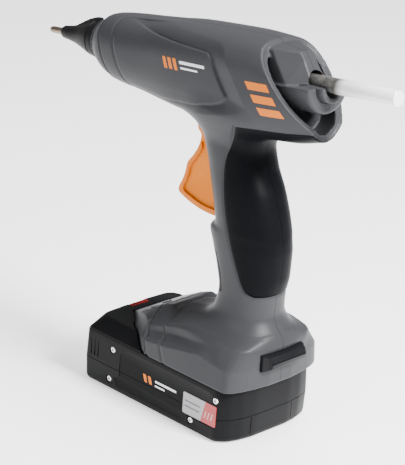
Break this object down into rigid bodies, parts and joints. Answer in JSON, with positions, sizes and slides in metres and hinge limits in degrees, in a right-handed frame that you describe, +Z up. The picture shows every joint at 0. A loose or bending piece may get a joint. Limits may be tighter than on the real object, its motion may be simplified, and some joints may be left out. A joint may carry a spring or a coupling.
{
  "type": "cordless hot glue gun",
  "caption": "Cordless hot-melt glue gun standing on a slide-on battery pack, with a pull trigger that feeds a clear glue stick through a slanted barrel to a steel nozzle.",
  "frame": {"origin": "centre of the flat bottom face of the battery pack, which the gun stands on", "axes": "+Z up; -Y towards the nozzle; +X to the gun's left side"},
  "size_m": [0.077, 0.2781, 0.2366],
  "materials": {
    "body_grey": "fine matte texture",
    "grip_black": "soft matte",
    "trigger_orange": "satin",
    "pack_black": "fine matte texture",
    "steel": "bright zinc",
    "nozzle_steel": "turned",
    "cast_aluminium": "as cast",
    "heater_brown": "film wrapped",
    "silicone": "smooth",
    "glue": "milky, semi-clear",
    "board_green": "solder mask",
    "brass": "plain",
    "release_red": "satin",
    "cell_wrap": "shrink wrap",
    "label_grey": "printed film",
    "light_lens": "frosted"
  },
  "bodies": {
    "housing": {"charge_light": "light_lens", "circuit_board": "board_green", "control_panel": "pack_black", "front_support_ring": "silicone", "grip_left": "grip_black", "grip_right": "grip_black", "handle_insert": "grip_black", "heat_light": "light_lens", "heater_clamp": "steel", "heater_lead": "release_red", "heating_element": "heater_brown", "housing_left": "body_grey", "housing_right": "body_grey", "housing_screw_foot": "steel", "housing_screw_front": "steel", "housing_screw_handle": "steel", "housing_screw_heel": "steel", "housing_screw_rear": "steel", "housing_screw_top": "steel", "inlet_sleeve": "silicone", "melt_chamber": "cast_aluminium", "nozzle": "nozzle_steel", "nozzle_shroud": "grip_black", "rear_bumper": "grip_black", "rear_guide": "body_grey", "rear_support_ring": "silicone", "return_spring": "steel", "sensor_lead": "glue", "sleeve_clip": "steel", "temperature_sensor": "glue", "terminal_block": "pack_black", "trigger_pin": "steel"},
    "pack": {"cell_1": "cell_wrap", "cell_2": "cell_wrap", "cell_3": "cell_wrap", "cell_4": "cell_wrap", "cell_5": "cell_wrap", "contact_data": "brass", "contact_minus": "brass", "contact_plus": "brass", "pack_board": "board_green", "pack_label": "label_grey", "pack_lower_case": "pack_black", "pack_screw_1": "steel", "pack_screw_2": "steel", "pack_screw_3": "steel", "pack_screw_4": "steel", "pack_upper_case": "pack_black"},
    "release": {"release_button": "release_red"},
    "trigger": {"trigger": "trigger_orange"},
    "carriage": {"feed_carriage": "pack_black", "jaw_pin": "steel"},
    "jaw": {"grip_jaw": "steel"},
    "stick": {"glue_stick": "glue"},
    "power": {"power_button": "label_grey"}
  },
  "joints": [
    {"name": "trigger_pull", "type": "hinge", "parent": "housing", "child": "trigger", "pos_m": [0, 0.008, 0.173], "axis": [1, 0, 0], "range_deg": [0, 14], "stiffness_Nm_per_rad": 1.5, "springref_deg": -17.19},
    {"name": "feed_slide", "type": "slide", "parent": "housing", "child": "carriage", "axis": [0, -0.9928, -0.1201], "range_m": [0, 0.00935]},
    {"name": "jaw_release", "type": "hinge", "parent": "carriage", "child": "jaw", "pos_m": [0, 0.00886, 0.21863], "axis": [-1, 0, 0], "range_deg": [0, 10], "stiffness_Nm_per_rad": 0.05, "springref_deg": -5.73},
    {"name": "stick_slide", "type": "slide", "parent": "carriage", "child": "stick", "axis": [0, 0.9928, 0.1201], "range_m": [0, 0.12]},
    {"name": "power_press", "type": "slide", "parent": "housing", "child": "power", "axis": [0, 0.454, -0.891], "range_m": [0, 0.0008], "stiffness_N_per_m": 500, "springref_m": -0.001},
    {"name": "pack_slide", "type": "slide", "parent": "housing", "child": "pack", "axis": [0, -1, 0], "range_m": [0, 0.12]},
    {"name": "release_press", "type": "slide", "parent": "pack", "child": "release", "axis": [0, 0, -1], "range_m": [0, 0.002], "stiffness_N_per_m": 800, "springref_m": -0.002}
  ],
  "couplings": [
    {"joint": "feed_slide", "follows": "trigger_pull", "m_per_rad": 0.0382}
  ]
}
